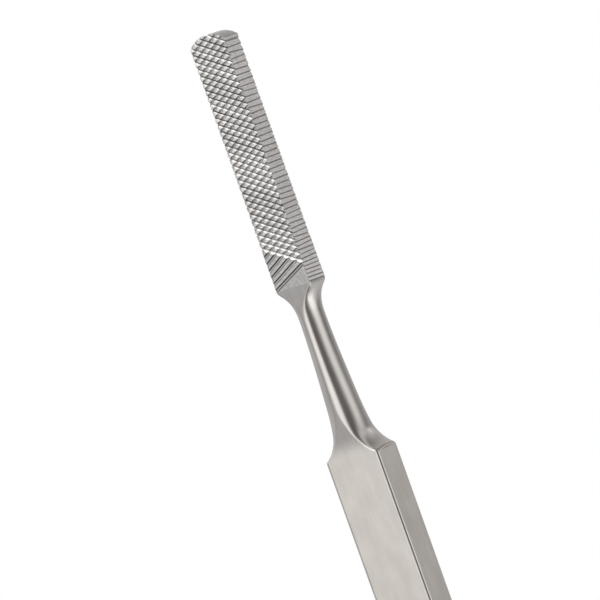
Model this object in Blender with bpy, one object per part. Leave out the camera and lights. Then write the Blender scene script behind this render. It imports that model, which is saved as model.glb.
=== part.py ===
"""Double-cut hand rasp, forged and ground in one piece from stainless steel bar.

The tool stands on the end of its handle. +Z runs up the tool to the rounded tip,
-Y is the front face of the head, and the origin is the centre of the handle's end
face. The handle is a flat bar, the neck is waisted and almost round, and the head
is a tapered bar with two crossing cuts on its front and back and a single
transverse cut on its two edges.
"""

import math

import bmesh
import bpy
from mathutils import Matrix

MM = 0.001

# Lengths along the tool.
HANDLE_LENGTH = 115.0 * MM
NECK_LENGTH = 45.0 * MM
HEAD_LENGTH = 68.5 * MM
SHOULDER_Z = HANDLE_LENGTH
HEAD_Z = SHOULDER_Z + NECK_LENGTH
TIP_Z = HEAD_Z + HEAD_LENGTH

# Half widths (X) and half thicknesses (Y).
HANDLE_HALF_WIDTH = 9.0 * MM
HANDLE_HALF_THICKNESS = 4.2 * MM
HEAD_BASE_HALF_WIDTH = 5.95 * MM
HEAD_TIP_HALF_WIDTH = 6.1 * MM
HEAD_BASE_HALF_THICKNESS = 3.4 * MM
HEAD_TIP_HALF_THICKNESS = 3.0 * MM
TIP_RADIUS = 9.5 * MM
TIP_CORNER_RADIUS = 0.9 * MM
TIP_CORNER_CLEARANCE = 0.02 * MM

# The flare from the neck out to the handle's shoulder, and out to the head.
SHOULDER_FLARE_RADIUS = 7.6 * MM
SHOULDER_FLARE_START = math.radians(4.7)
SHOULDER_FLARE_END = math.radians(58.5)
SHOULDER_ARCH = 0.5 * MM
SHOULDER_ARCH_FADE = 4.0 * MM
HEAD_FLARE_RADIUS = 10.6 * MM
HEAD_FLARE_START = math.radians(0.4)
HEAD_FLARE_END = math.radians(40.0)
HEAD_CORNER_REACH = 0.9 * MM

# The section: flat sides at the head and handle, and almost elliptical in the neck.
EDGE_BREAK = 0.7 * MM
END_CHAMFER = 0.4 * MM
HEAD_EDGE = 0.3 * MM
SHOULDER_ROUND_RUN = 13.6 * MM
HEAD_ROUND_RUN = 9.3 * MM
ROUND_POWER = 1.4
LEAST_FLAT = 0.05 * MM
QUARTER_STEPS = 7
FINE_STEPS = 60
TURN_WEIGHT = 3.0 * MM

# Cuts on the front and back faces: slope across the face, and size along the tool.
FACE_PITCH = 1.87 * MM
FACE_STEEP_RUN = 0.45 * MM
FACE_GENTLE_RUN = 1.05 * MM
FIRST_CUT_SLOPE = math.radians(26.5)
FIRST_CUT_START = 3.45 * MM
FIRST_CUT_DEPTH = 0.5 * MM
SECOND_CUT_SLOPE = math.radians(-28.5)
SECOND_CUT_START = 9.7 * MM
SECOND_CUT_DEPTH = 0.62 * MM

# Cuts on the two edges of the head: closer together towards the neck.
RIGHT_EDGE_CUT_START = 0.7 * MM
LEFT_EDGE_CUT_START = 0.95 * MM
EDGE_CUT_END = 63.8 * MM
EDGE_PITCH_AT_NECK = 1.0 * MM
EDGE_PITCH_GROWTH = 0.0145
EDGE_PITCH_MOST = 1.5 * MM
EDGE_DEPTH = 0.25 * MM
EDGE_STEEP_RUN = 0.16 * MM
EDGE_GENTLE_RUN = 0.36 * MM

# Room that a cutter keeps outside the metal.
CUTTER_LIFT = 0.1 * MM
CUTTER_BACK = 2.0 * MM
CUTTER_REACH = 8.0 * MM

STEEL_COLOUR = (0.62, 0.60, 0.58, 1.0)
STEEL_ROUGHNESS = 0.32


def clear_scene():
    """Remove the objects that a new file starts with."""
    for old in list(bpy.data.objects):
        bpy.data.objects.remove(old, do_unlink=True)


def new_collection(name):
    """A collection linked to the scene."""
    collection = bpy.data.collections.new(name)
    bpy.context.scene.collection.children.link(collection)
    return collection


def steel_material():
    """Satin stainless steel."""
    material = bpy.data.materials.new("satin_stainless_steel")
    material.use_nodes = True
    shader = material.node_tree.nodes["Principled BSDF"]
    shader.inputs["Base Color"].default_value = STEEL_COLOUR
    shader.inputs["Metallic"].default_value = 1.0
    shader.inputs["Roughness"].default_value = STEEL_ROUGHNESS
    return material


def mix(a, b, t):
    """The value a fraction t of the way from a to b."""
    return a + (b - a) * t


def smooth(t):
    """A 0 to 1 ramp with level ends."""
    t = min(1.0, max(0.0, t))
    return t * t * (3.0 - 2.0 * t)


# The flare arcs turn from START to END, measured from the tool's axis. The shoulder
# arc ends on the handle's corner, and the head arc ends on the head's lower corner.
SHOULDER_ARC_HEIGHT = SHOULDER_FLARE_RADIUS * (
    math.sin(SHOULDER_FLARE_END) - math.sin(SHOULDER_FLARE_START)
)
SHOULDER_ARC_Z = SHOULDER_Z + SHOULDER_ARC_HEIGHT
SHOULDER_ARC_HALF_WIDTH = HANDLE_HALF_WIDTH - SHOULDER_FLARE_RADIUS * (
    math.cos(SHOULDER_FLARE_START) - math.cos(SHOULDER_FLARE_END)
)
HEAD_ARC_HEIGHT = HEAD_FLARE_RADIUS * (
    math.sin(HEAD_FLARE_END) - math.sin(HEAD_FLARE_START)
)
HEAD_ARC_Z = HEAD_Z - HEAD_ARC_HEIGHT
HEAD_ARC_HALF_WIDTH = HEAD_BASE_HALF_WIDTH - HEAD_FLARE_RADIUS * (
    math.cos(HEAD_FLARE_START) - math.cos(HEAD_FLARE_END)
)


def neck_half_width(z):
    """Half the neck's width: a cubic between the arcs, tangent to both."""
    run = HEAD_ARC_Z - SHOULDER_ARC_Z
    t = (z - SHOULDER_ARC_Z) / run
    slope_low = -math.tan(SHOULDER_FLARE_START)
    slope_high = math.tan(HEAD_FLARE_START)
    low = (2.0 * t**3 - 3.0 * t**2 + 1.0) * SHOULDER_ARC_HALF_WIDTH
    low += (t**3 - 2.0 * t**2 + t) * run * slope_low
    high = (3.0 * t**2 - 2.0 * t**3) * HEAD_ARC_HALF_WIDTH
    high += (t**3 - t**2) * run * slope_high
    return low + high


def sharp_half_width(z):
    """Half the width of the tool at height z, with a sharp corner where the head begins."""
    if z <= SHOULDER_Z:
        return HANDLE_HALF_WIDTH
    if z <= SHOULDER_ARC_Z:
        rise = math.sin(SHOULDER_FLARE_END) - (z - SHOULDER_Z) / SHOULDER_FLARE_RADIUS
        inward = math.sqrt(1.0 - rise * rise) - math.cos(SHOULDER_FLARE_END)
        return HANDLE_HALF_WIDTH - SHOULDER_FLARE_RADIUS * inward
    if z <= HEAD_ARC_Z:
        return neck_half_width(z)
    if z <= HEAD_Z:
        rise = math.sin(HEAD_FLARE_END) - (HEAD_Z - z) / HEAD_FLARE_RADIUS
        inward = math.sqrt(1.0 - rise * rise) - math.cos(HEAD_FLARE_END)
        return HEAD_BASE_HALF_WIDTH - HEAD_FLARE_RADIUS * inward
    return mix(HEAD_BASE_HALF_WIDTH, HEAD_TIP_HALF_WIDTH, (z - HEAD_Z) / HEAD_LENGTH)


def half_width(z):
    """Half the width of the tool at height z."""
    t = (z - HEAD_Z) / (2.0 * HEAD_CORNER_REACH) + 0.5
    if not 0.0 < t < 1.0:
        return sharp_half_width(z)
    low = sharp_half_width(HEAD_Z - HEAD_CORNER_REACH)
    high = sharp_half_width(HEAD_Z + HEAD_CORNER_REACH)
    return (1.0 - t) ** 2 * low + 2.0 * t * (1.0 - t) * HEAD_BASE_HALF_WIDTH + t * t * high


def half_thickness(z):
    """Half the thickness at height z: level in the handle, easing down to the head."""
    if z <= SHOULDER_Z:
        return HANDLE_HALF_THICKNESS
    if z <= HEAD_Z:
        t = smooth((z - SHOULDER_Z) / NECK_LENGTH)
        return mix(HANDLE_HALF_THICKNESS, HEAD_BASE_HALF_THICKNESS, t)
    t = (z - HEAD_Z) / HEAD_LENGTH
    return mix(HEAD_BASE_HALF_THICKNESS, HEAD_TIP_HALF_THICKNESS, t)


def edge_radius(z):
    """Radius that breaks the section's four corners at height z."""
    t = min(1.0, max(0.0, (z - SHOULDER_Z) / NECK_LENGTH))
    return mix(EDGE_BREAK, HEAD_EDGE, t)


def roundness(z):
    """0 where the section's sides are flat, 1 where they are half an ellipse."""
    if not SHOULDER_Z < z < HEAD_Z:
        return 0.0
    from_shoulder = min(1.0, (z - SHOULDER_Z) / SHOULDER_ROUND_RUN)
    from_head = min(1.0, (HEAD_Z - z) / HEAD_ROUND_RUN)
    return math.sin(math.pi / 2.0 * min(from_shoulder, from_head)) ** ROUND_POWER


def quarter_section(z, inset):
    """Points of a quarter of the section: from its side's middle round to its face.

    The quarter is part of an ellipse, as deep as the side bulges, grown outwards by the
    edge radius. Each sample is the ellipse's own angle and its normal's angle, and the
    points are spread evenly by length and by turn.
    """
    edge = edge_radius(z)
    tall = half_thickness(z) - inset - edge
    across = half_width(z) - inset - edge
    deep = roundness(z) * (across - LEAST_FLAT)
    samples = []
    for step in range(FINE_STEPS + 1):
        turn = math.pi / 2.0 * step / FINE_STEPS
        samples.append((turn, math.atan2(deep * math.sin(turn), tall * math.cos(turn))))
        samples.append((math.atan2(tall * math.sin(turn), deep * math.cos(turn)), turn))
    samples.sort(key=sum)
    places = []
    for along, normal in samples:
        x = across - deep + deep * math.cos(along) + edge * math.cos(normal)
        y = tall * math.sin(along) + edge * math.sin(normal)
        run = 0.0
        if places:
            run, last_x, last_y, last_normal = places[-1]
            run += math.hypot(x - last_x, y - last_y) + TURN_WEIGHT * abs(normal - last_normal)
        places.append((run, x, y, normal))
    points = []
    for step in range(QUARTER_STEPS + 1):
        wanted = places[-1][0] * step / QUARTER_STEPS
        i = 1
        while places[i][0] < wanted - 1e-12:
            i += 1
        low, low_x, low_y, _ = places[i - 1]
        high, high_x, high_y, _ = places[i]
        t = (wanted - low) / (high - low) if high > low else 1.0
        points.append((mix(low_x, high_x, t), mix(low_y, high_y, t)))
    return points


def section(z, inset=0.0):
    """Points of the section at height z, anticlockwise from above."""
    quarter = quarter_section(z, inset)
    half = quarter + [(-x, y) for x, y in reversed(quarter)]
    points = half[:-1] + [(-x, -y) for x, y in half[:-1]]
    # Near the shoulder the section bends down towards the front and back faces.
    arch = SHOULDER_ARCH * (1.0 - smooth(abs(z - SHOULDER_Z) / SHOULDER_ARCH_FADE))
    return [(x, y, z - arch * (y / half_thickness(z)) ** 2) for x, y in points]


def section_heights():
    """Heights of the loft's sections, closer together where the outline curves."""
    heights = [END_CHAMFER, SHOULDER_Z - SHOULDER_ARCH_FADE, SHOULDER_Z]
    flare_steps = 8
    for step in range(1, flare_steps + 1):
        heights.append(mix(SHOULDER_Z, SHOULDER_ARC_Z, (step / flare_steps) ** 1.3))
    neck_steps = 6
    for step in range(1, neck_steps + 1):
        heights.append(mix(SHOULDER_ARC_Z, HEAD_ARC_Z, step / neck_steps))
    head_start = HEAD_Z - HEAD_CORNER_REACH
    for step in range(1, flare_steps + 1):
        heights.append(mix(HEAD_ARC_Z, head_start, step / flare_steps))
    corner_steps = 4
    for step in range(1, corner_steps + 1):
        heights.append(mix(head_start, HEAD_Z + HEAD_CORNER_REACH, step / corner_steps))
    heights.append(TIP_Z + CUTTER_LIFT)
    return heights


def build_body(collection, material):
    """Loft the whole tool through its sections, from the handle's end to the tip."""
    loops = [section(0.0, inset=END_CHAMFER)]
    loops += [section(z) for z in section_heights()]
    shape = bmesh.new()
    rings = [[shape.verts.new(point) for point in loop] for loop in loops]
    for lower, upper in zip(rings, rings[1:]):
        for i in range(len(lower)):
            j = (i + 1) % len(lower)
            shape.faces.new((lower[i], lower[j], upper[j], upper[i]))
    shape.faces.new(list(reversed(rings[0])))
    shape.faces.new(rings[-1])
    mesh = bpy.data.meshes.new("rasp_body")
    shape.to_mesh(mesh)
    shape.free()
    mesh.shade_smooth()
    mesh.set_sharp_from_angle(angle=math.radians(30.0))
    mesh.materials.append(material)
    body = bpy.data.objects.new("rasp_body", mesh)
    collection.objects.link(body)
    return body


def plate(name, outline, half_depth, placement, collection):
    """A closed plate: a flat outline in its own XY plane, thickened along its Z."""
    curve = bpy.data.curves.new(name, "CURVE")
    curve.dimensions = "2D"
    curve.fill_mode = "BOTH"
    curve.extrude = half_depth
    spline = curve.splines.new("POLY")
    spline.points.add(len(outline) - 1)
    for point, (x, y) in zip(spline.points, outline):
        point.co = (x, y, 0.0, 1.0)
    spline.use_cyclic_u = True
    flat = bpy.data.objects.new(name, curve)
    collection.objects.link(flat)
    graph = bpy.context.evaluated_depsgraph_get()
    mesh = bpy.data.meshes.new_from_object(flat.evaluated_get(graph))
    bpy.data.objects.remove(flat, do_unlink=True)
    shape = bmesh.new()
    shape.from_mesh(mesh)
    bmesh.ops.remove_doubles(shape, verts=shape.verts, dist=0.00001)
    bmesh.ops.transform(shape, matrix=placement, verts=shape.verts)
    bmesh.ops.recalc_face_normals(shape, faces=shape.faces)
    shape.to_mesh(mesh)
    shape.free()
    cutter = bpy.data.objects.new(name, mesh)
    cutter.hide_render = True
    cutter.display_type = "WIRE"
    collection.objects.link(cutter)
    return cutter


def comb_outline(places, depth, steep_run, gentle_run):
    """A comb of V teeth: x along the tool, y out of the face, which lies at y = 0.

    Towards the tip, each V falls gently and then rises steeply, so the metal left
    between the cuts points its steep face at the handle.
    """
    rise = (depth + CUTTER_LIFT) / depth
    points = [(places[0] - CUTTER_BACK, CUTTER_BACK)]
    points.append((places[0] - CUTTER_BACK, CUTTER_LIFT))
    for place in places:
        points.append((place - gentle_run * rise, CUTTER_LIFT))
        points.append((place, -depth))
        points.append((place + steep_run * rise, CUTTER_LIFT))
    points.append((places[-1] + CUTTER_BACK, CUTTER_LIFT))
    points.append((places[-1] + CUTTER_BACK, CUTTER_BACK))
    return points


def face_placement(turn, half_size_base, half_size_tip, slope):
    """Places a comb on the face of the head that a turn about Z brings to the front."""
    taper = (half_size_base - half_size_tip) / HEAD_LENGTH
    axes = Matrix(((0, 0, 1, 0), (0, -1, 0, 0), (1, 0, 0, 0), (0, 0, 0, 1)))
    lean = Matrix.Identity(4)
    lean[2][0] = math.tan(slope)
    follow_taper = Matrix.Identity(4)
    follow_taper[1][2] = taper
    move = Matrix.Translation((0.0, -half_size_base, HEAD_Z))
    return Matrix.Rotation(turn, 4, "Z") @ move @ follow_taper @ lean @ axes


def face_cut(name, turn, start, slope, depth, collection):
    """One of the two crossing cuts on the front or back face."""
    spread = HEAD_TIP_HALF_WIDTH * abs(math.tan(slope))
    count = int((HEAD_LENGTH + spread - start) / FACE_PITCH) + 1
    places = [start + FACE_PITCH * number for number in range(count)]
    outline = comb_outline(places, depth, FACE_STEEP_RUN, FACE_GENTLE_RUN)
    placement = face_placement(turn, HEAD_BASE_HALF_THICKNESS, HEAD_TIP_HALF_THICKNESS, slope)
    return plate(name, outline, CUTTER_REACH, placement, collection)


def edge_cut(name, turn, start, collection):
    """The single cut on one edge of the head."""
    places = [start]
    while places[-1] < EDGE_CUT_END:
        pitch = EDGE_PITCH_AT_NECK + EDGE_PITCH_GROWTH * places[-1]
        places.append(places[-1] + min(pitch, EDGE_PITCH_MOST))
    outline = comb_outline(places, EDGE_DEPTH, EDGE_STEEP_RUN, EDGE_GENTLE_RUN)
    placement = face_placement(turn, HEAD_BASE_HALF_WIDTH, HEAD_TIP_HALF_WIDTH, 0.0)
    return plate(name, outline, CUTTER_REACH, placement, collection)


def tip_cut(collection):
    """The block outside the tip's arc and rounded corners, straight through the thickness."""
    reach = 7.5 * MM
    corner_x = HEAD_TIP_HALF_WIDTH + TIP_CORNER_CLEARANCE - TIP_CORNER_RADIUS
    corner_y = math.sqrt((TIP_RADIUS - TIP_CORNER_RADIUS) ** 2 - corner_x**2) - TIP_RADIUS
    meeting = math.atan2(corner_y + TIP_RADIUS, corner_x)
    arc_steps = 9
    corner_steps = 4
    half = []
    for step in range(arc_steps):
        turn = mix(math.pi / 2.0, meeting, step / arc_steps)
        half.append((TIP_RADIUS * math.cos(turn), TIP_RADIUS * (math.sin(turn) - 1.0)))
    for step in range(corner_steps + 1):
        turn = mix(meeting, 0.0, step / corner_steps)
        x = corner_x + TIP_CORNER_RADIUS * math.cos(turn)
        half.append((x, corner_y + TIP_CORNER_RADIUS * math.sin(turn)))
    half.append((reach, corner_y))
    half.append((reach, CUTTER_BACK))
    outline = [(-x, y) for x, y in reversed(half[1:])] + half
    placement = Matrix.Translation((0.0, 0.0, TIP_Z)) @ Matrix.Rotation(math.pi / 2.0, 4, "X")
    return plate("tip_arc_cutter", outline, CUTTER_REACH, placement, collection)


def build():
    """The rasp, with its cuts left as modifiers."""
    clear_scene()
    model = new_collection("rasp")
    cutters = new_collection("rasp_cutters")
    body = build_body(model, steel_material())
    first = (FIRST_CUT_START, FIRST_CUT_SLOPE, FIRST_CUT_DEPTH)
    second = (SECOND_CUT_START, SECOND_CUT_SLOPE, SECOND_CUT_DEPTH)
    half_turn = math.pi
    quarter_turn = math.pi / 2.0
    tools = [
        tip_cut(cutters),
        face_cut("front_first_cut", 0.0, *first, cutters),
        face_cut("front_second_cut", 0.0, *second, cutters),
        face_cut("back_first_cut", half_turn, *first, cutters),
        face_cut("back_second_cut", half_turn, *second, cutters),
        edge_cut("right_edge_cut", quarter_turn, RIGHT_EDGE_CUT_START, cutters),
        edge_cut("left_edge_cut", -quarter_turn, LEFT_EDGE_CUT_START, cutters),
    ]
    for tool in tools:
        cut = body.modifiers.new(tool.name, "BOOLEAN")
        cut.operation = "DIFFERENCE"
        cut.solver = "EXACT"
        cut.object = tool


build()
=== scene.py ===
"""The look of a one-piece, double-cut steel rasp, standing on the end of its handle.

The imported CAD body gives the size. A finer body with the same outline replaces it: a
loft through rounded sections, cut by one wedge for each groove of the rasp.
+Z runs up the tool to its tip, and the front face of the head looks along -Y.
"""

import math
import random

import bmesh
import bpy
from mathutils import Matrix, Vector


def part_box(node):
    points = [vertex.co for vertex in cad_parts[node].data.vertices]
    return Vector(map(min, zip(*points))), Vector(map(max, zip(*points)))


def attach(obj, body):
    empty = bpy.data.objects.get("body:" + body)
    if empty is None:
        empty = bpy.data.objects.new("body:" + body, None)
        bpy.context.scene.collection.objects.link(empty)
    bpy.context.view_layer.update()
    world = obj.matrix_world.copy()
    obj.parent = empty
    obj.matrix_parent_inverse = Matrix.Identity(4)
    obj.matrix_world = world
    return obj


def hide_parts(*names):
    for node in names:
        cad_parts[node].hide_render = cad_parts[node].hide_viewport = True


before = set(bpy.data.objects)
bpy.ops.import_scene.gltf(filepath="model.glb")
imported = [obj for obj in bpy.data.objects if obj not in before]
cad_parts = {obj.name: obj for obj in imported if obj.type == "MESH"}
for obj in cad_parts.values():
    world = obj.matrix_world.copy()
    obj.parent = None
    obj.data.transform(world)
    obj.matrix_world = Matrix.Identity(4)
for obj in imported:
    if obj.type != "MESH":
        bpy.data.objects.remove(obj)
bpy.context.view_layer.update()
NODE_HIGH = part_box("rasp_body")[1]

MM = 0.001

# Outline, in metres. The three overall sizes come from the CAD body.
TIP_Z = NODE_HIGH.z
HANDLE_HALF_WIDTH = NODE_HIGH.x
HANDLE_HALF_THICKNESS = NODE_HIGH.y
HEAD_LENGTH = 68.5 * MM
NECK_LENGTH = 45.0 * MM
HEAD_Z = TIP_Z - HEAD_LENGTH
SHOULDER_Z = HEAD_Z - NECK_LENGTH
HEAD_BASE_HALF_WIDTH = 5.95 * MM
HEAD_TIP_HALF_WIDTH = 6.1 * MM
HEAD_BASE_HALF_THICKNESS = 3.4 * MM
HEAD_TIP_HALF_THICKNESS = 3.0 * MM
TIP_RADIUS = 9.5 * MM
TIP_CORNER_RADIUS = 0.9 * MM
TIP_CORNER_CLEARANCE = 0.02 * MM

# The flare from the neck out to the handle's shoulder, and out to the head.
SHOULDER_FLARE_RADIUS = 7.6 * MM
SHOULDER_FLARE_START = math.radians(4.7)
SHOULDER_FLARE_END = math.radians(58.5)
SHOULDER_ARCH = 0.5 * MM
SHOULDER_ARCH_FADE = 4.0 * MM
SHOULDER_CORNER_REACH = 0.4 * MM
HEAD_FLARE_RADIUS = 10.6 * MM
HEAD_FLARE_START = math.radians(0.4)
HEAD_FLARE_END = math.radians(40.0)
HEAD_CORNER_REACH = 0.9 * MM

# The section: flat sides at the head and handle, and almost elliptical in the neck.
# The handle's rounded edges reach further across its wide faces than down its sides.
EDGE_BREAK = 0.65 * MM
EDGE_STRETCH = 1.6
EDGE_STRETCH_FADE = 8.0 * MM
END_CHAMFER = 0.4 * MM
HEAD_EDGE = 0.4 * MM
SHOULDER_ROUND_RUN = 13.6 * MM
HEAD_ROUND_RUN = 9.3 * MM
ROUND_POWER = 1.4
LEAST_FLAT = 0.05 * MM

# How finely the loft is divided.
QUARTER_STEPS = 20
FINE_STEPS = 60
TURN_WEIGHT = 1.5 * MM
LENGTH_TOLERANCE = 1e-12
HANDLE_STEPS = 4
ARCH_STEPS = 6
CORNER_STEPS = 8
FLARE_STEPS = 30
FLARE_BUNCHING = 1.3
NECK_STEPS = 40


def mix(a, b, t):
    """The value a fraction t of the way from a to b."""
    return a + (b - a) * t


def smooth(t):
    """A 0 to 1 ramp with level ends."""
    t = min(1.0, max(0.0, t))
    return t * t * (3.0 - 2.0 * t)


# ---------------------------------------------------------------- the outline

SHOULDER_ARC_Z = SHOULDER_Z + SHOULDER_FLARE_RADIUS * (
    math.sin(SHOULDER_FLARE_END) - math.sin(SHOULDER_FLARE_START)
)
SHOULDER_ARC_HALF_WIDTH = HANDLE_HALF_WIDTH - SHOULDER_FLARE_RADIUS * (
    math.cos(SHOULDER_FLARE_START) - math.cos(SHOULDER_FLARE_END)
)
HEAD_ARC_Z = HEAD_Z - HEAD_FLARE_RADIUS * (
    math.sin(HEAD_FLARE_END) - math.sin(HEAD_FLARE_START)
)
HEAD_ARC_HALF_WIDTH = HEAD_BASE_HALF_WIDTH - HEAD_FLARE_RADIUS * (
    math.cos(HEAD_FLARE_START) - math.cos(HEAD_FLARE_END)
)


def neck_half_width(z):
    """Half the neck's width: a cubic between the arcs, tangent to both."""
    run = HEAD_ARC_Z - SHOULDER_ARC_Z
    t = (z - SHOULDER_ARC_Z) / run
    slope_low = -math.tan(SHOULDER_FLARE_START)
    slope_high = math.tan(HEAD_FLARE_START)
    low = (2.0 * t**3 - 3.0 * t**2 + 1.0) * SHOULDER_ARC_HALF_WIDTH
    low += (t**3 - 2.0 * t**2 + t) * run * slope_low
    high = (3.0 * t**2 - 2.0 * t**3) * HEAD_ARC_HALF_WIDTH
    high += (t**3 - t**2) * run * slope_high
    return low + high


def sharp_half_width(z):
    """Half the width of the tool at height z, with sharp corners where the neck ends."""
    if z <= SHOULDER_Z:
        return HANDLE_HALF_WIDTH
    if z <= SHOULDER_ARC_Z:
        rise = math.sin(SHOULDER_FLARE_END) - (z - SHOULDER_Z) / SHOULDER_FLARE_RADIUS
        inward = math.sqrt(1.0 - rise * rise) - math.cos(SHOULDER_FLARE_END)
        return HANDLE_HALF_WIDTH - SHOULDER_FLARE_RADIUS * inward
    if z <= HEAD_ARC_Z:
        return neck_half_width(z)
    if z <= HEAD_Z:
        rise = math.sin(HEAD_FLARE_END) - (HEAD_Z - z) / HEAD_FLARE_RADIUS
        inward = math.sqrt(1.0 - rise * rise) - math.cos(HEAD_FLARE_END)
        return HEAD_BASE_HALF_WIDTH - HEAD_FLARE_RADIUS * inward
    return mix(HEAD_BASE_HALF_WIDTH, HEAD_TIP_HALF_WIDTH, (z - HEAD_Z) / HEAD_LENGTH)


def half_width(z):
    """Half the width of the tool at height z, with its two corners rounded."""
    for corner, reach in ((SHOULDER_Z, SHOULDER_CORNER_REACH), (HEAD_Z, HEAD_CORNER_REACH)):
        t = (z - corner) / (2.0 * reach) + 0.5
        if 0.0 < t < 1.0:
            low = sharp_half_width(corner - reach)
            middle = sharp_half_width(corner)
            high = sharp_half_width(corner + reach)
            return (1.0 - t) ** 2 * low + 2.0 * t * (1.0 - t) * middle + t * t * high
    return sharp_half_width(z)


def half_thickness(z):
    """Half the thickness at height z: level in the handle, easing down to the head."""
    if z <= SHOULDER_Z:
        return HANDLE_HALF_THICKNESS
    if z <= HEAD_Z:
        t = smooth((z - SHOULDER_Z) / NECK_LENGTH)
        return mix(HANDLE_HALF_THICKNESS, HEAD_BASE_HALF_THICKNESS, t)
    t = (z - HEAD_Z) / HEAD_LENGTH
    return mix(HEAD_BASE_HALF_THICKNESS, HEAD_TIP_HALF_THICKNESS, t)


def edge_radius(z):
    """Radius that breaks the section's four corners at height z."""
    t = min(1.0, max(0.0, (z - SHOULDER_Z) / NECK_LENGTH))
    return mix(EDGE_BREAK, HEAD_EDGE, t)


def roundness(z):
    """0 where the section's sides are flat, 1 where they are half an ellipse."""
    if not SHOULDER_Z < z < HEAD_Z:
        return 0.0
    from_shoulder = min(1.0, (z - SHOULDER_Z) / SHOULDER_ROUND_RUN)
    from_head = min(1.0, (HEAD_Z - z) / HEAD_ROUND_RUN)
    return math.sin(math.pi / 2.0 * min(from_shoulder, from_head)) ** ROUND_POWER


def quarter_section(z, inset):
    """Points of a quarter of the section: from its side's middle round to its face.

    The quarter is part of an ellipse, as deep as the side bulges, grown outwards by the
    edge radius. Each sample is the ellipse's own angle and its normal's angle, and the
    points are spread evenly by length and by turn.
    """
    edge = edge_radius(z)
    stretch = mix(EDGE_STRETCH, 1.0, smooth((z - SHOULDER_Z) / EDGE_STRETCH_FADE))
    tall = half_thickness(z) - inset - edge
    across = half_width(z) - inset - edge * stretch
    deep = roundness(z) * (across - LEAST_FLAT)
    samples = []
    for step in range(FINE_STEPS + 1):
        turn = math.pi / 2.0 * step / FINE_STEPS
        samples.append((turn, math.atan2(deep * math.sin(turn), tall * math.cos(turn))))
        samples.append((math.atan2(tall * math.sin(turn), deep * math.cos(turn)), turn))
    samples.sort(key=sum)
    places = []
    for along, normal in samples:
        x = across - deep + deep * math.cos(along) + edge * stretch * math.cos(normal)
        y = tall * math.sin(along) + edge * math.sin(normal)
        run = 0.0
        if places:
            run, last_x, last_y, last_normal = places[-1]
            run += math.hypot(x - last_x, y - last_y) + TURN_WEIGHT * abs(normal - last_normal)
        places.append((run, x, y, normal))
    points = []
    for step in range(QUARTER_STEPS + 1):
        wanted = places[-1][0] * step / QUARTER_STEPS
        i = 1
        while places[i][0] < wanted - LENGTH_TOLERANCE:
            i += 1
        low, low_x, low_y, _ = places[i - 1]
        high, high_x, high_y, _ = places[i]
        t = (wanted - low) / (high - low) if high > low else 1.0
        points.append((mix(low_x, high_x, t), mix(low_y, high_y, t)))
    return points


def section(z, inset=0.0):
    """Points of the section at height z, anticlockwise from above."""
    quarter = quarter_section(z, inset)
    half = quarter + [(-x, y) for x, y in reversed(quarter)]
    points = half[:-1] + [(-x, -y) for x, y in half[:-1]]
    # Near the shoulder the section bends down towards the front and back faces.
    arch = SHOULDER_ARCH * (1.0 - smooth(abs(z - SHOULDER_Z) / SHOULDER_ARCH_FADE))
    return [(x, y, z - arch * (y / half_thickness(z)) ** 2) for x, y in points]


def section_heights():
    """Heights of the loft's sections, closer together where the outline curves."""
    heights = []
    for step in range(HANDLE_STEPS):
        heights.append(mix(END_CHAMFER, SHOULDER_Z - SHOULDER_ARCH_FADE, step / HANDLE_STEPS))
    shoulder_start = SHOULDER_Z - SHOULDER_CORNER_REACH
    for step in range(ARCH_STEPS):
        heights.append(mix(SHOULDER_Z - SHOULDER_ARCH_FADE, shoulder_start, step / ARCH_STEPS))
    shoulder_end = SHOULDER_Z + SHOULDER_CORNER_REACH
    for step in range(CORNER_STEPS + 1):
        heights.append(mix(shoulder_start, shoulder_end, step / CORNER_STEPS))
    for step in range(1, FLARE_STEPS + 1):
        t = (step / FLARE_STEPS) ** FLARE_BUNCHING
        heights.append(mix(shoulder_end, SHOULDER_ARC_Z, t))
    for step in range(1, NECK_STEPS + 1):
        heights.append(mix(SHOULDER_ARC_Z, HEAD_ARC_Z, step / NECK_STEPS))
    head_start = HEAD_Z - HEAD_CORNER_REACH
    for step in range(1, FLARE_STEPS + 1):
        heights.append(mix(HEAD_ARC_Z, head_start, step / FLARE_STEPS))
    for step in range(1, CORNER_STEPS + 1):
        heights.append(mix(head_start, HEAD_Z + HEAD_CORNER_REACH, step / CORNER_STEPS))
    heights.append(TIP_Z + CUTTER_LIFT)
    return heights


# ---------------------------------------------------------------- the cuts

CUTTER_LIFT = 0.3 * MM
CUTTER_REACH = 8.0 * MM
SKIM = 0.01 * MM
LOWEST_RUN = 0.05 * MM
LOWEST_EDGE_DEPTH = 0.5
FLOOR_TILT = 0.97
DEPTH_SPREAD = (0.9, 1.08)
RANDOM_SEED = 7


class Cut:
    """A set of grooves across one face, sized along the tool.

    Upwards, each groove falls gently over low_run to its floor, floor wide, and rises
    steeply over high_run to a crest of the original face, crest wide. The land from
    one crest to the next groove falls by land_drop.
    """

    def __init__(self, depth, low_run, floor, high_run, crest, land_drop):
        self.depth = depth
        self.low_run = low_run
        self.floor = floor
        self.high_run = high_run
        self.crest = crest
        self.land_drop = land_drop


FIRST_CUT = Cut(0.32 * MM, 0.28 * MM, 0.34 * MM, 0.28 * MM, 0.06 * MM, 0.06 * MM)
SECOND_CUT = Cut(0.54 * MM, 0.54 * MM, 0.08 * MM, 0.26 * MM, 0.06 * MM, 0.10 * MM)
EDGE_CUT = Cut(0.21 * MM, 0.06 * MM, 0.06 * MM, 0.15 * MM, 0.06 * MM, 0.15 * MM)


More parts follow.
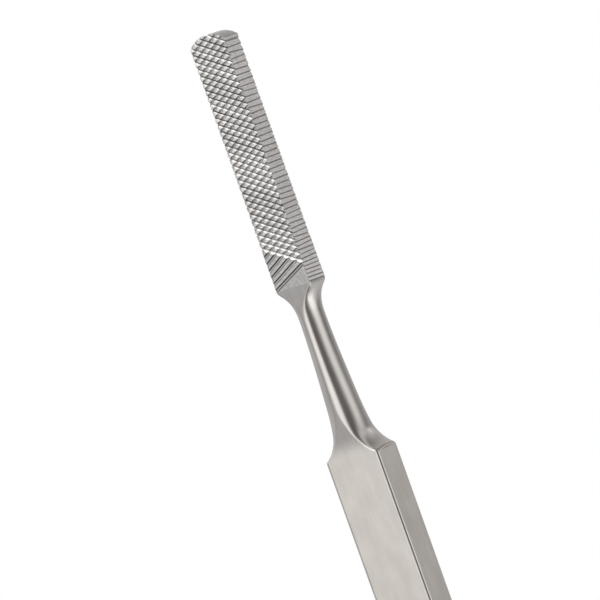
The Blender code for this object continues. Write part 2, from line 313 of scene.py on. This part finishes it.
class Spacing:
    """Where the grooves of one cut lie across the front or the back.

    They cross the centre line from start above the head's base to past_tip beyond the
    tip, pitch millimetres apart. The lowest rises to the right at slope degrees, each
    next one is steeper by gain, up to most_gain, and side is -1 where they fall instead.
    """

    def __init__(self, start, past_tip, slope, gain, most_gain, pitch, side):
        self.start = start
        self.past_tip = past_tip
        self.slope = slope
        self.gain = gain
        self.most_gain = most_gain
        self.pitch = pitch
        self.side = side


FIRST_SPACING = Spacing(3.3 * MM, 3.5 * MM, 23.0, 1.1, 4.0, 1.90, 1.0)
SECOND_SPACING = Spacing(9.6 * MM, 3.8 * MM, 27.2, 0.25, 3.0, 1.86, -1.0)
SLOPE_JITTER = 0.3
PITCH_JITTER = 0.05

# The grooves on the head's edges, which lie further apart towards the tip.
EDGE_START = 0.7 * MM
EDGE_STOP = 3.3 * MM
EDGE_SLOPE_JITTER = 2.5
EDGE_LEAST_PITCH = 1.0 * MM
EDGE_PITCH_GAIN = 0.0145
EDGE_MOST_PITCH = 1.5 * MM
EDGE_PITCH_SPREAD = (0.95, 1.05)


def face_lines(spacing, rng):
    """(height at the centre, slope) of each groove of a cut across the front or back."""
    lines = []
    height = spacing.start
    while height < HEAD_LENGTH + spacing.past_tip:
        slope = spacing.slope + min(spacing.most_gain, spacing.gain * len(lines))
        slope += rng.uniform(-SLOPE_JITTER, SLOPE_JITTER)
        lines.append((height, spacing.side * math.tan(math.radians(slope))))
        height += (spacing.pitch + rng.uniform(-PITCH_JITTER, PITCH_JITTER)) * MM
    return lines


def edge_lines(rng):
    """(height, slope) of each transverse groove on an edge of the head."""
    lines = []
    height = EDGE_START
    while height < HEAD_LENGTH - EDGE_STOP:
        slope = rng.uniform(-EDGE_SLOPE_JITTER, EDGE_SLOPE_JITTER)
        lines.append((height, math.tan(math.radians(slope))))
        pitch = min(EDGE_LEAST_PITCH + EDGE_PITCH_GAIN * height, EDGE_MOST_PITCH)
        height += pitch * rng.uniform(*EDGE_PITCH_SPREAD)
    return lines


def groove_profile(cut, lines, number, x, depth):
    """The wedge's outline at x: (height, distance out of the face) of each corner."""
    height, slope = lines[number]
    centre = height + slope * x
    floor_low = centre - cut.floor / 2.0
    floor_high = centre + cut.floor / 2.0
    crest = floor_high + cut.high_run
    if number > 0:
        below, below_slope = lines[number - 1]
        last_crest = below + below_slope * x + cut.floor / 2.0 + cut.high_run + cut.crest
        points = [(last_crest, CUTTER_LIFT), (last_crest, -SKIM)]
        points.append((floor_low - cut.low_run, -cut.land_drop))
    else:
        # The lowest groove has no land below it: its wall runs up to the plain face.
        start = floor_low - cut.low_run * depth / (depth - cut.land_drop) - LOWEST_RUN
        points = [(start - SKIM, CUTTER_LIFT), (start, -SKIM)]
    points += [(floor_low, -depth), (floor_high, -depth * FLOOR_TILT)]
    points += [(crest, -SKIM), (crest + SKIM, CUTTER_LIFT)]
    return points


def cutter_object(name, shape):
    """A hidden object that a Boolean modifier can cut with."""
    bmesh.ops.recalc_face_normals(shape, faces=shape.faces)
    mesh = bpy.data.meshes.new(name)
    shape.to_mesh(mesh)
    shape.free()
    cutter = bpy.data.objects.new(name, mesh)
    cutter.hide_render = True
    bpy.context.scene.collection.objects.link(cutter)
    return cutter


def add_prism(shape, ends):
    """A closed prism between two matching outlines, each a list of points."""
    rings = [[shape.verts.new(point) for point in outline] for outline in ends]
    first, second = rings
    count = len(first)
    for i in range(count):
        j = (i + 1) % count
        shape.faces.new((first[i], first[j], second[j], second[i]))
    shape.faces.new(list(reversed(first)))
    shape.faces.new(second)


def groove_cutter(name, cut, lines, turn, half_size_base, half_size_tip, rng):
    """All the grooves of one cut, on the face that a turn about Z brings to the front."""
    taper = (half_size_base - half_size_tip) / HEAD_LENGTH
    placement = Matrix.Rotation(turn, 4, "Z")
    shape = bmesh.new()
    for number in range(len(lines)):
        depth = cut.depth * rng.uniform(*DEPTH_SPREAD)
        if cut is EDGE_CUT and number == 0:
            depth *= LOWEST_EDGE_DEPTH
        ends = []
        for x in (-CUTTER_REACH, CUTTER_REACH):
            outline = []
            for height, out in groove_profile(cut, lines, number, x, depth):
                y = -(half_size_base - taper * height) - out
                outline.append(placement @ Vector((x, y, HEAD_Z + height)))
            ends.append(outline)
        add_prism(shape, ends)
    return cutter_object(name, shape)


TIP_BLOCK_HALF_WIDTH = 7.5 * MM
TIP_BLOCK_RISE = 3.0 * MM
TIP_ARC_STEPS = 28
TIP_CORNER_STEPS = 12


def tip_cutter():
    """The block outside the tip's arc and rounded corners, straight through the thickness."""
    corner_x = HEAD_TIP_HALF_WIDTH + TIP_CORNER_CLEARANCE - TIP_CORNER_RADIUS
    corner_y = math.sqrt((TIP_RADIUS - TIP_CORNER_RADIUS) ** 2 - corner_x**2) - TIP_RADIUS
    meeting = math.atan2(corner_y + TIP_RADIUS, corner_x)
    half = []
    for step in range(TIP_ARC_STEPS):
        turn = mix(math.pi / 2.0, meeting, step / TIP_ARC_STEPS)
        half.append((TIP_RADIUS * math.cos(turn), TIP_RADIUS * (math.sin(turn) - 1.0)))
    for step in range(TIP_CORNER_STEPS + 1):
        turn = mix(meeting, 0.0, step / TIP_CORNER_STEPS)
        x = corner_x + TIP_CORNER_RADIUS * math.cos(turn)
        half.append((x, corner_y + TIP_CORNER_RADIUS * math.sin(turn)))
    half.append((TIP_BLOCK_HALF_WIDTH, corner_y))
    half.append((TIP_BLOCK_HALF_WIDTH, TIP_BLOCK_RISE))
    outline = [(-x, y) for x, y in reversed(half[1:])] + half
    ends = []
    for y in (-CUTTER_REACH, CUTTER_REACH):
        ends.append([Vector((x, y, TIP_Z + rise)) for x, rise in outline])
    shape = bmesh.new()
    add_prism(shape, ends)
    return cutter_object("tip_arc_cutter", shape)


def all_cutters():
    """The tip's arc, two crossing cuts on the front and back, and one on each edge."""
    rng = random.Random(RANDOM_SEED)
    faces = (HEAD_BASE_HALF_THICKNESS, HEAD_TIP_HALF_THICKNESS)
    edges = (HEAD_BASE_HALF_WIDTH, HEAD_TIP_HALF_WIDTH)
    cutters = [tip_cutter()]
    for side, turn in (("front", 0.0), ("back", math.pi)):
        lines = face_lines(FIRST_SPACING, rng)
        cutters.append(groove_cutter(side + "_first_cut", FIRST_CUT, lines, turn, *faces, rng))
        lines = face_lines(SECOND_SPACING, rng)
        cutters.append(groove_cutter(side + "_second_cut", SECOND_CUT, lines, turn, *faces, rng))
    for side, turn in (("right", math.pi / 2.0), ("left", -math.pi / 2.0)):
        lines = edge_lines(rng)
        cutters.append(groove_cutter(side + "_edge_cut", EDGE_CUT, lines, turn, *edges, rng))
    return cutters


# ---------------------------------------------------------------- the body

SHARP_ANGLE = math.radians(28.0)
NORMAL_WEIGHT = 90


def cut_away(body, cutter):
    """Cut body with cutter, and remove the cutter."""
    modifier = body.modifiers.new(cutter.name, "BOOLEAN")
    modifier.operation = "DIFFERENCE"
    modifier.solver = "MANIFOLD"
    modifier.object = cutter
    graph = bpy.context.evaluated_depsgraph_get()
    body.data = bpy.data.meshes.new_from_object(body.evaluated_get(graph))
    body.modifiers.clear()
    bpy.data.objects.remove(cutter, do_unlink=True)


def keep_largest_part(mesh):
    """Delete the loose specks that crossing cuts can leave."""
    shape = bmesh.new()
    shape.from_mesh(mesh)
    for vert in shape.verts:
        vert.tag = False
    parts = []
    for start in shape.verts:
        if start.tag:
            continue
        start.tag = True
        part = [start]
        for vert in part:
            for edge in vert.link_edges:
                other = edge.other_vert(vert)
                if not other.tag:
                    other.tag = True
                    part.append(other)
        parts.append(part)
    parts.sort(key=len)
    for part in parts[:-1]:
        bmesh.ops.delete(shape, geom=part, context="VERTS")
    shape.to_mesh(mesh)
    shape.free()


def build_body():
    """The whole tool: the loft, with all its cuts applied."""
    loops = [section(0.0, inset=END_CHAMFER)]
    loops += [section(z) for z in section_heights()]
    shape = bmesh.new()
    rings = [[shape.verts.new(point) for point in loop] for loop in loops]
    for lower, upper in zip(rings, rings[1:]):
        for i in range(len(lower)):
            j = (i + 1) % len(lower)
            shape.faces.new((lower[i], lower[j], upper[j], upper[i]))
    shape.faces.new(list(reversed(rings[0])))
    shape.faces.new(rings[-1])
    mesh = bpy.data.meshes.new("rasp_forging")
    shape.to_mesh(mesh)
    shape.free()
    body = bpy.data.objects.new("rasp_forging", mesh)
    bpy.context.scene.collection.objects.link(body)
    for cutter in all_cutters():
        cut_away(body, cutter)
    keep_largest_part(body.data)
    body.data.name = "rasp_forging"
    body.data.shade_smooth()
    body.data.set_sharp_from_angle(angle=SHARP_ANGLE)
    weighted = body.modifiers.new("weighted_normals", "WEIGHTED_NORMAL")
    weighted.keep_sharp = True
    weighted.weight = NORMAL_WEIGHT
    return body


# ---------------------------------------------------------------- materials


class Nodes:
    """A short way to write a node tree."""

    def __init__(self, tree):
        self.tree = tree

    def add(self, kind, inputs=None, **settings):
        """A new node with its settings and inputs, which are values or sockets."""
        node = self.tree.nodes.new(kind)
        for name, value in settings.items():
            setattr(node, name, value)
        for key, value in (inputs or {}).items():
            if isinstance(value, bpy.types.NodeSocket):
                self.tree.links.new(value, node.inputs[key])
            else:
                node.inputs[key].default_value = value
        return node

    def math(self, operation, *values):
        """The result of a math node."""
        inputs = dict(enumerate(values))
        return self.add("ShaderNodeMath", inputs, operation=operation).outputs[0]

    def ramp(self, value, low, high, out_low=0.0, out_high=1.0):
        """A smooth change of value from low to high."""
        inputs = {"Value": value, "From Min": low, "From Max": high}
        inputs.update({"To Min": out_low, "To Max": out_high})
        node = self.add("ShaderNodeMapRange", inputs, interpolation_type="SMOOTHSTEP")
        return node.outputs["Result"]

    def level(self, value, low, high):
        """How far value is from low to high, from 0 to 1."""
        inputs = {"Value": value, "From Min": low, "From Max": high}
        return self.add("ShaderNodeMapRange", inputs).outputs["Result"]

    def between(self, factor, first, second):
        """A number between two numbers."""
        kept = self.math("MULTIPLY", first, self.math("SUBTRACT", 1.0, factor))
        return self.math("ADD", kept, self.math("MULTIPLY", second, factor))

    def noise(self, vector, scale, detail=3.0):
        """A noise value from 0 to 1, at so many features per metre along each axis."""
        stretch = self.add("ShaderNodeMapping", {"Vector": vector, "Scale": scale})
        inputs = {"Vector": stretch.outputs[0], "Scale": 1.0, "Detail": detail}
        return self.add("ShaderNodeTexNoise", inputs).outputs["Fac"]

    def blend(self, factor, first, second):
        """A colour between two colours."""
        inputs = {"Factor": factor, "A": first, "B": second}
        node = self.add("ShaderNodeMix", data_type="RGBA")
        for key, value in inputs.items():
            socket = [s for s in node.inputs if s.name == key and s.enabled][0]
            if isinstance(value, bpy.types.NodeSocket):
                self.tree.links.new(value, socket)
            else:
                socket.default_value = value
        return [s for s in node.outputs if s.enabled][0]


HEAD_COLOUR = (0.60, 0.60, 0.60, 1.0)
NECK_COLOUR = (0.60, 0.595, 0.585, 1.0)
HANDLE_COLOUR = (0.845, 0.825, 0.785, 1.0)
# Painted shade: the dark colour laid into the teeth's hollows and down-facing walls in place of
# their shadow.
PAINTED_SHADE_COLOUR = (0.045, 0.043, 0.04, 1.0)

# Where each finish gives way to the next, measured up or down from the neck's ends.
HEAD_BLEND = 1.0 * MM
HANDLE_BLEND_ABOVE = 5.0 * MM
HANDLE_BLEND_BELOW = 1.0 * MM
TEETH_START = 0.3 * MM
TEETH_FULL = 0.6 * MM

# How far in from the handle's edges the polish ends and the brushing is full.
POLISHED_TO = 0.7 * EDGE_BREAK
BRUSHED_FROM = 1.1 * EDGE_BREAK

# Openness to the sky at which painted shade starts in a groove and is darkest.
CREVICE_REACH = 0.4 * MM
CREVICE_OPEN = 0.75
CREVICE_SHUT = 0.35
CREVICE_SHADE = 0.90

# How far down the tool a steep face looks as its painted shade starts and is darkest.
# The painted shade is paler in the edges' grooves, which hardly look to the front or the back.
STEEP_START = -0.15
STEEP_FULL = -0.45
STEEP_SHADE = 0.90
EDGE_CUT_SHADE = 0.45
EDGE_FACING = 0.2
FACE_FACING = 0.5

# Noise features per metre along x, y and z, and what each one does.
STREAK_SCALE = (3500.0, 3500.0, 90.0)
PATCH_SCALE = (220.0, 220.0, 130.0)
GRAIN_SCALE = (9000.0, 9000.0, 9000.0)
BURR_SCALE = (2600.0, 2600.0, 2600.0)
STREAK_TONE = 0.16
PATCH_TONE = 0.28
BASE_TONE = 0.78
TOOTH_MOTTLE = 0.55
GRAIN_HEIGHT = 1.2
BURR_HEIGHT = 22.0
BUMP_STRENGTH = 0.25
BUMP_HEIGHT = 0.01 * MM
BEVEL_RADIUS = 0.05 * MM

NECK_ROUGHNESS = 0.14
BRUSHED_ROUGHNESS = 0.20
HEAD_ROUGHNESS = 0.02
STREAK_ROUGHNESS = 0.08


def steel():
    """Satin stainless steel: brushed handle, shinier neck and head, and painted shade in the
    grooves.
    """
    material = bpy.data.materials.new("satin_stainless_steel")
    material.use_nodes = True
    tree = material.node_tree
    shader = tree.nodes["Principled BSDF"]
    n = Nodes(tree)
    place = n.add("ShaderNodeTexCoord").outputs["Object"]
    x, y, z = n.add("ShaderNodeSeparateXYZ", {0: place}).outputs

    in_head = n.ramp(z, HEAD_Z - HEAD_BLEND, HEAD_Z + HEAD_BLEND)
    in_handle = n.ramp(z, SHOULDER_Z + HANDLE_BLEND_ABOVE, SHOULDER_Z - HANDLE_BLEND_BELOW)
    in_teeth = n.ramp(z, HEAD_Z + TEETH_START, HEAD_Z + TEETH_FULL)

    # The brushing covers the handle's flats, and leaves its rounded edges bright.
    from_side = n.math("SUBTRACT", HANDLE_HALF_WIDTH, n.math("ABSOLUTE", x))
    from_face = n.math("SUBTRACT", HANDLE_HALF_THICKNESS, n.math("ABSOLUTE", y))
    from_edge = n.math("MAXIMUM", n.math("DIVIDE", from_side, EDGE_STRETCH), from_face)
    from_shoulder = n.math("ABSOLUTE", n.math("SUBTRACT", z, SHOULDER_Z))
    from_corner = n.math("MAXIMUM", from_side, from_shoulder)
    nearest = n.math("MINIMUM", from_edge, from_corner)
    on_flat = n.ramp(nearest, POLISHED_TO, BRUSHED_FROM)
    brushed = n.math("MULTIPLY", in_handle, on_flat)

    # How far the steel around a point closes it in: 0 in the open, 1 deep in a groove.
    open_sky = n.add("ShaderNodeAmbientOcclusion", {"Distance": CREVICE_REACH}, samples=8)
    shut_in = n.ramp(open_sky.outputs["AO"], CREVICE_OPEN, CREVICE_SHUT)
    # The steep faces of the teeth look down the tool, and get painted shade.
    facing = n.add("ShaderNodeSeparateXYZ", {0: n.add("ShaderNodeNewGeometry").outputs["Normal"]})
    steep = n.ramp(facing.outputs["Z"], STEEP_START, STEEP_FULL)
    on_face = n.ramp(n.math("ABSOLUTE", facing.outputs["Y"]), EDGE_FACING, FACE_FACING)
    steep = n.math("MULTIPLY", steep, n.between(on_face, EDGE_CUT_SHADE, STEEP_SHADE))
    # Painted shade: the closed-in hollows and the steep down-facing walls darken the colour.
    painted_groove_shade = n.math("MAXIMUM", n.math("MULTIPLY", shut_in, CREVICE_SHADE), steep)
    painted_groove_shade = n.math("MULTIPLY", in_teeth, painted_groove_shade)

    streaks = n.noise(place, STREAK_SCALE, 4.0)
    patches = n.noise(place, PATCH_SCALE, 3.0)
    grain = n.noise(place, GRAIN_SCALE, 2.0)
    burrs = n.noise(place, BURR_SCALE, 3.0)

    colour = n.blend(in_head, NECK_COLOUR, HEAD_COLOUR)
    colour = n.blend(brushed, colour, HANDLE_COLOUR)
    # Painted shade laid into the teeth's colour.
    colour = n.blend(painted_groove_shade, colour, PAINTED_SHADE_COLOUR)
    streak_tone = n.math("MULTIPLY", streaks, STREAK_TONE)
    tone = n.math("ADD", streak_tone, n.math("MULTIPLY", patches, PATCH_TONE))
    tone = n.math("ADD", tone, BASE_TONE)
    mottle = n.math("MULTIPLY", n.math("SUBTRACT", burrs, 0.5), TOOTH_MOTTLE)
    tone = n.math("MULTIPLY_ADD", mottle, in_teeth, tone)
    shade = n.add("ShaderNodeVectorMath", {0: colour, 1: tone}, operation="MULTIPLY")
    tree.links.new(shade.outputs[0], shader.inputs["Base Color"])

    rough = n.math("MULTIPLY_ADD", brushed, BRUSHED_ROUGHNESS, NECK_ROUGHNESS)
    rough = n.math("MULTIPLY_ADD", in_head, HEAD_ROUGHNESS, rough)
    rough = n.math("MULTIPLY_ADD", streaks, STREAK_ROUGHNESS, rough)
    tree.links.new(rough, shader.inputs["Roughness"])
    shader.inputs["Metallic"].default_value = 1.0

    bevel = n.add("ShaderNodeBevel", {"Radius": BEVEL_RADIUS}, samples=4)
    relief = n.math("ADD", streaks, n.math("MULTIPLY", grain, GRAIN_HEIGHT))
    relief = n.math("MULTIPLY_ADD", n.math("MULTIPLY", burrs, in_teeth), BURR_HEIGHT, relief)
    bump = n.add("ShaderNodeBump", {"Strength": BUMP_STRENGTH, "Distance": BUMP_HEIGHT,
                                    "Height": relief, "Normal": bevel.outputs[0]})
    tree.links.new(bump.outputs[0], shader.inputs["Normal"])
    return material


# ---------------------------------------------------------------- camera and stage

CAMERA_AZIMUTH = math.radians(40.7)
CAMERA_ELEVATION = math.radians(3.25)
CAMERA_ROLL = math.radians(-19.7)
CAMERA_VIEW = math.radians(10.8)
CAMERA_WIDTH_AT_TOOL = 153.6 * MM
CAMERA_HEIGHT_ON_TOOL = 156.8 * MM
CAMERA_SIDE_SHIFT = -1.50 * MM
CAMERA_NEAREST = 10.0 * MM


def add_camera():
    """The camera, level with the neck, looking at the tool's right front corner."""
    cos_el = math.cos(CAMERA_ELEVATION)
    back = Vector((math.sin(CAMERA_AZIMUTH) * cos_el, -math.cos(CAMERA_AZIMUTH) * cos_el,
                   math.sin(CAMERA_ELEVATION)))
    right = Vector((math.cos(CAMERA_AZIMUTH), math.sin(CAMERA_AZIMUTH), 0.0))
    up = back.cross(right)
    roll_right = math.cos(CAMERA_ROLL) * right + math.sin(CAMERA_ROLL) * up
    roll_up = math.cos(CAMERA_ROLL) * up - math.sin(CAMERA_ROLL) * right
    distance = CAMERA_WIDTH_AT_TOOL / 2.0 / math.tan(CAMERA_VIEW / 2.0)
    target = Vector((0.0, 0.0, CAMERA_HEIGHT_ON_TOOL)) + right * CAMERA_SIDE_SHIFT
    data = bpy.data.cameras.new("camera")
    data.angle = CAMERA_VIEW
    data.clip_start = CAMERA_NEAREST
    camera = bpy.data.objects.new("camera", data)
    camera.matrix_world = Matrix((
        (roll_right.x, roll_up.x, back.x, 0.0),
        (roll_right.y, roll_up.y, back.y, 0.0),
        (roll_right.z, roll_up.z, back.z, 0.0),
        (0.0, 0.0, 0.0, 1.0),
    ))
    camera.location = target + back * distance
    bpy.context.scene.collection.objects.link(camera)
    bpy.context.scene.camera = camera


def set_stops(ramp, stops):
    """Fill a colour ramp with stops, each its angle in degrees and its colour."""
    elements = ramp.color_ramp.elements
    while len(elements) < len(stops):
        elements.new(0.5)
    for element, (angle, *colour) in zip(elements, stops):
        element.position = angle / 360.0 + 0.5
        element.color = (*colour, 1.0)


# Brightness of the studio by direction. Each row is an angle from the camera, negative
# to its left, followed by the brightness at each of these elevations. One softbox
# stands to the left, one lies low to the right, and the front above the camera is dark.
STUDIO_ELEVATIONS = (-45.0, -15.0, 0.0, 12.0, 26.0, 50.0)
STUDIO = (
    (-180.0, 0.60, 0.70, 0.66, 0.75, 0.55, 0.40),
    (-160.0, 0.60, 0.66, 0.62, 0.65, 0.20, 0.20),
    (-135.0, 0.60, 0.64, 0.61, 0.66, 0.20, 0.20),
    (-115.0, 0.60, 0.66, 0.62, 0.82, 0.25, 0.22),
    (-95.0, 0.50, 0.62, 0.52, 1.30, 0.90, 0.80),
    (-84.0, 0.40, 0.46, 0.35, 1.40, 1.40, 2.00),
    (-76.0, 0.30, 0.65, 0.80, 1.00, 1.60, 2.00),
    (-66.0, 0.28, 0.95, 1.50, 0.90, 1.60, 2.00),
    (-50.0, 0.28, 0.95, 1.50, 0.60, 1.40, 2.00),
    (-42.0, 0.28, 0.70, 1.25, 0.35, 0.80, 2.00),
    (-36.0, 0.28, 0.30, 0.40, 0.20, 0.25, 0.60),
    (-28.0, 0.28, 0.20, 0.18, 0.16, 0.20, 0.35),
    (-8.0, 0.35, 0.20, 0.17, 0.15, 0.18, 0.22),
    (6.0, 0.65, 0.45, 0.32, 0.20, 0.30, 0.40),
    (18.0, 1.15, 0.90, 0.75, 0.36, 0.55, 0.60),
    (32.0, 1.50, 1.35, 1.10, 0.62, 0.70, 0.60),
    (50.0, 1.60, 1.40, 1.05, 0.68, 0.75, 0.50),
    (66.0, 1.50, 1.15, 0.60, 0.60, 0.70, 0.30),
    (80.0, 1.30, 0.65, 0.24, 0.75, 0.50, 0.20),
    (92.0, 1.10, 0.30, 0.20, 1.00, 0.60, 0.20),
    (100.0, 1.00, 0.32, 0.28, 1.00, 0.60, 0.20),
    (115.0, 0.80, 0.36, 0.42, 0.75, 0.45, 0.22),
    (135.0, 0.65, 0.56, 0.54, 0.60, 0.50, 0.45),
    (180.0, 0.60, 0.70, 0.66, 0.75, 0.55, 0.40),
)
# The colour of that light, by the same angle: cream from the softboxes, and a little
# rosier from the dark front between them.
STUDIO_TINTS = (
    (-180.0, 1.0, 0.955, 0.925),
    (-100.0, 1.0, 0.97, 0.96),
    (-76.0, 1.0, 0.97, 0.96),
    (-60.0, 1.0, 0.98, 0.93),
    (-36.0, 1.0, 0.93, 0.90),
    (0.0, 1.0, 0.92, 0.89),
    (40.0, 1.0, 0.975, 0.93),
    (100.0, 1.0, 0.96, 0.94),
    (180.0, 1.0, 0.955, 0.925),
)
BRIGHTEST = 2.0
FLOOR_SHADE = 0.22
FLOOR_ELEVATION = -75.0
CEILING_LIGHT = 0.12
CEILING_START = 74.0
CEILING_FULL = 86.0


def add_studio():
    """The world: white to the camera, and softboxes to whatever the steel reflects."""
    world = bpy.data.worlds.new("studio")
    bpy.context.scene.world = world
    world.use_nodes = True
    tree = world.node_tree
    tree.nodes.clear()
    n = Nodes(tree)
    direction = n.add("ShaderNodeTexCoord").outputs["Generated"]
    x, y, z = n.add("ShaderNodeSeparateXYZ", {0: direction}).outputs
    azimuth = n.math("ARCTAN2", x, n.math("MULTIPLY", y, -1.0))
    turn = n.math("SUBTRACT", azimuth, CAMERA_AZIMUTH)
    part = n.math("MULTIPLY_ADD", turn, 0.5 / math.pi, 0.5)
    around = n.math("FRACT", n.math("ADD", part, 1.0))
    height = n.math("DEGREES", n.math("ARCSINE", z))
    light = FLOOR_SHADE
    low = FLOOR_ELEVATION
    for column, elevation in enumerate(STUDIO_ELEVATIONS):
        ring = n.add("ShaderNodeValToRGB", {"Fac": around})
        set_stops(ring, [(row[0],) + (row[column + 1] / BRIGHTEST,) * 3 for row in STUDIO])
        walls = n.math("MULTIPLY", ring.outputs[0], BRIGHTEST)
        light = n.between(n.level(height, low, elevation), light, walls)
        low = elevation
    overhead = n.level(height, CEILING_START, CEILING_FULL)
    light = n.between(overhead, light, CEILING_LIGHT)
    path = n.add("ShaderNodeLightPath")
    plain = n.math("MAXIMUM", path.outputs["Is Camera Ray"], path.outputs["Is Diffuse Ray"])
    light = n.math("ADD", n.math("MULTIPLY", light, n.math("SUBTRACT", 1.0, plain)), plain)
    tint = n.add("ShaderNodeValToRGB", {"Fac": around})
    set_stops(tint, STUDIO_TINTS)
    colour = n.blend(plain, tint.outputs[0], (1.0, 1.0, 1.0, 1.0))
    background = n.add("ShaderNodeBackground", {"Color": colour, "Strength": light})
    output = n.add("ShaderNodeOutputWorld")
    tree.links.new(background.outputs[0], output.inputs["Surface"])


FLOOR_RADIUS = 240.0 * MM
FLOOR_DROP = 0.05 * MM
FLOOR_COLOUR = (0.86, 0.86, 0.855, 1.0)
FLOOR_ROUGHNESS = 0.9
FLOOR_FADE_START = 0.3 * FLOOR_RADIUS
FLOOR_FADE_END = 0.97 * FLOOR_RADIUS


def add_floor():
    """A pale disc under the handle, which fades out towards its rim."""
    shape = bmesh.new()
    bmesh.ops.create_circle(shape, cap_ends=True, segments=96, radius=FLOOR_RADIUS)
    mesh = bpy.data.meshes.new("floor")
    shape.to_mesh(mesh)
    shape.free()
    floor = bpy.data.objects.new("floor", mesh)
    floor.location.z = -FLOOR_DROP
    floor.visible_glossy = False
    bpy.context.scene.collection.objects.link(floor)
    material = bpy.data.materials.new("pale_floor")
    material.use_nodes = True
    tree = material.node_tree
    n = Nodes(tree)
    shader = tree.nodes["Principled BSDF"]
    shader.inputs["Base Color"].default_value = FLOOR_COLOUR
    shader.inputs["Roughness"].default_value = FLOOR_ROUGHNESS
    place = n.add("ShaderNodeTexCoord").outputs["Object"]
    radius = n.add("ShaderNodeVectorMath", {0: place}, operation="LENGTH").outputs["Value"]
    fade = n.ramp(radius, FLOOR_FADE_START, FLOOR_FADE_END)
    clear = n.add("ShaderNodeBsdfTransparent").outputs[0]
    blend = n.add("ShaderNodeMixShader", {0: fade, 1: shader.outputs[0], 2: clear})
    output = tree.nodes["Material Output"]
    tree.links.new(blend.outputs[0], output.inputs["Surface"])
    mesh.materials.append(material)


body = build_body()
body.data.materials.clear()
body.data.materials.append(steel())
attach(body, "root")
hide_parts("rasp_body")
add_camera()
add_studio()
add_floor()
bpy.context.scene.view_settings.view_transform = "Standard"
